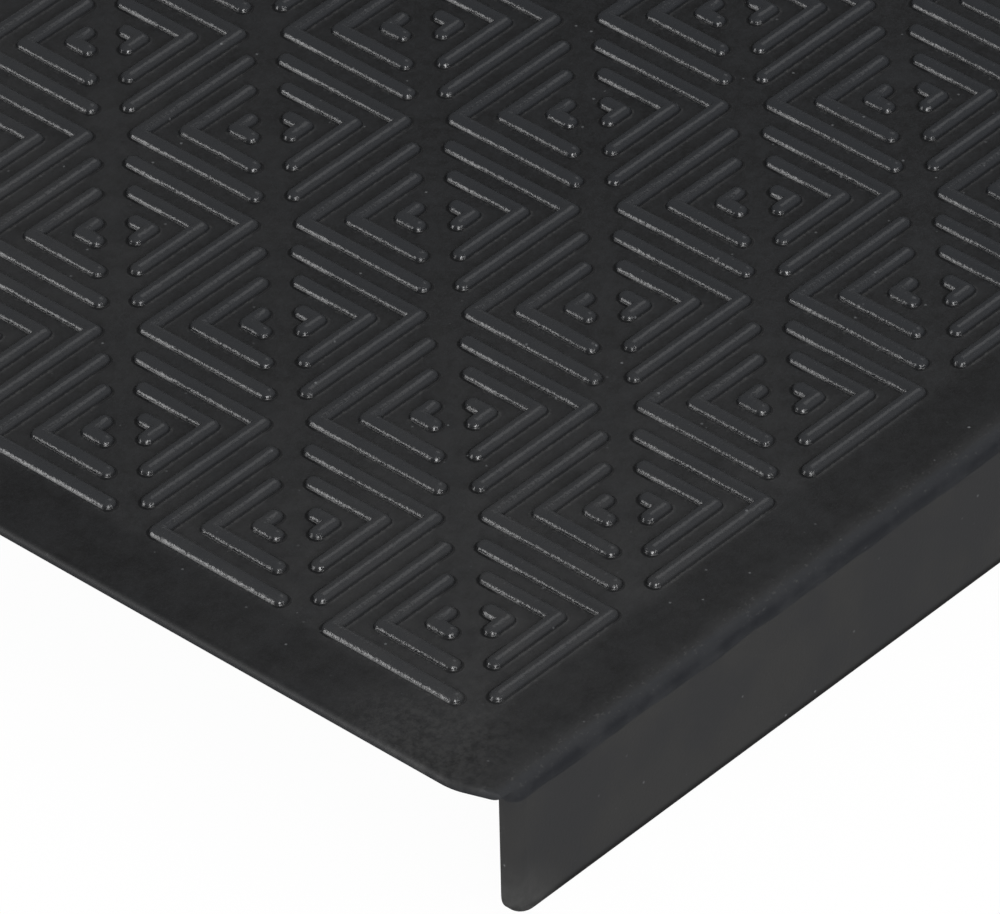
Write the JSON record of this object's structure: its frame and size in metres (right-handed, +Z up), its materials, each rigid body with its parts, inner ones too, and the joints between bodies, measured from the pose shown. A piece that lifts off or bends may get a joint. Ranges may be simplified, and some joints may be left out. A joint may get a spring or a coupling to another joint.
{
  "type": "anti slip stair tread mat",
  "caption": "Moulded rubber cover for a stair tread, with a turned down front lip over the nosing and nested square ridges for grip",
  "frame": {"origin": "middle of the flat underside of the sheet, the face that lies on the step", "axes": "+X along the width of the step, -Y towards the front where the lip turns down, +Z up out of the ridged face"},
  "size_m": [0.7502, 0.2422, 0.0334],
  "materials": {
    "rubber": "moulded black rubber with a low sheen and a fine grain"
  },
  "bodies": {
    "root": {"tread_mat": "rubber"}
  },
  "joints": []
}
